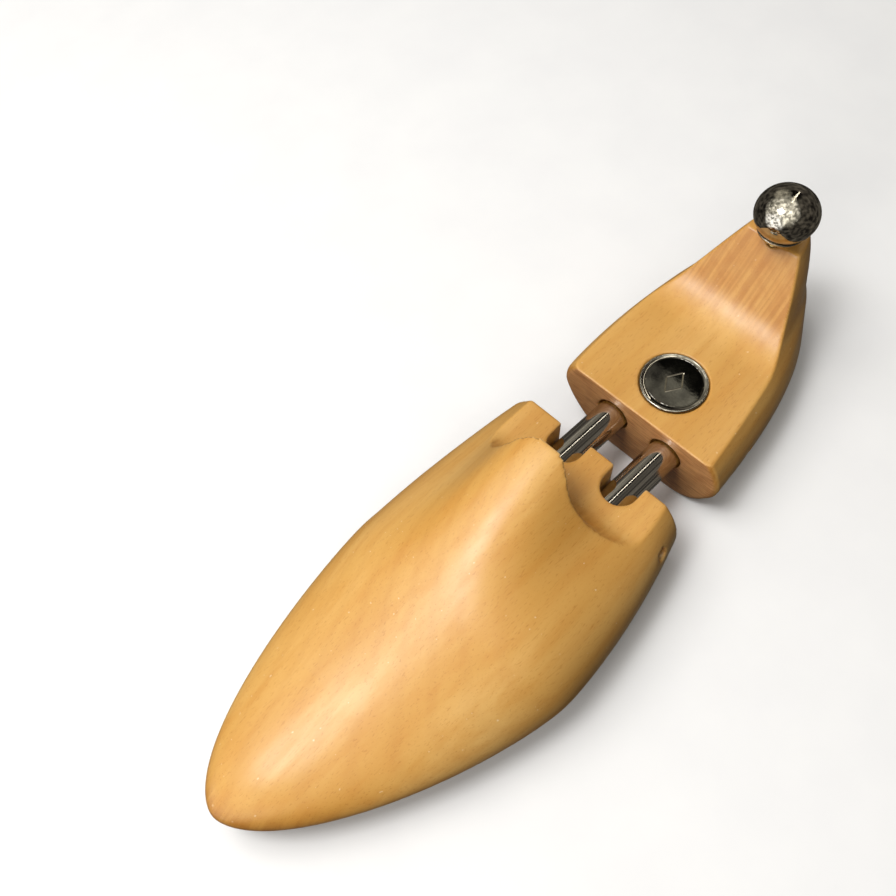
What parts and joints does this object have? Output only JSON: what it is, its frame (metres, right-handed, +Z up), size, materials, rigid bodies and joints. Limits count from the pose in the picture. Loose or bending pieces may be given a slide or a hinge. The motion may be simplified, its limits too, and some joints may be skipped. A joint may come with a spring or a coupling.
{
  "type": "shoe tree",
  "caption": "Wooden shoe tree for a left shoe: a forefoot block and a heel block with a metal knob, joined by sprung steel slide tubes.",
  "frame": {"origin": "centre of the bounding box in plan, at the level of the flat soles", "axes": "+X towards the toe, +Y towards the outer side of the foot, +Z up"},
  "size_m": [0.284, 0.0926, 0.0755],
  "materials": {
    "beech": "satin clear lacquer",
    "polished_steel": "mirror polished",
    "spring_steel": "drawn wire, oiled",
    "nickel": "polished dark nickel plate",
    "brass": "turned",
    "nylon": "moulded",
    "adhesive_foam": "matt foam"
  },
  "bodies": {
    "forefoot": {"forefoot_block": "beech", "outer_slide_tube": "polished_steel", "inner_slide_tube": "polished_steel", "outer_spring": "spring_steel", "inner_spring": "spring_steel", "outer_front_plug": "brass", "inner_front_plug": "brass", "outer_tail_bush": "nylon", "inner_tail_bush": "nylon", "forefoot_cross_pin": "spring_steel"},
    "heel": {"heel_block": "beech", "heel_cross_pin": "spring_steel", "outer_spring_follower": "brass", "inner_spring_follower": "brass", "knob_dome": "nickel", "knob_flange": "nickel", "knob_collar": "nickel", "knob_stud": "spring_steel", "threaded_insert": "brass", "plaque_disc": "nickel", "plaque_glue_pad": "adhesive_foam"}
  },
  "joints": [
    {"name": "heel_slide", "type": "slide", "parent": "forefoot", "child": "heel", "axis": [0.9914, 0, 0.1305], "range_m": [0, 0.014], "stiffness_N_per_m": 3870, "springref_m": -0.005, "deforming": ["outer_spring", "inner_spring"]}
  ]
}
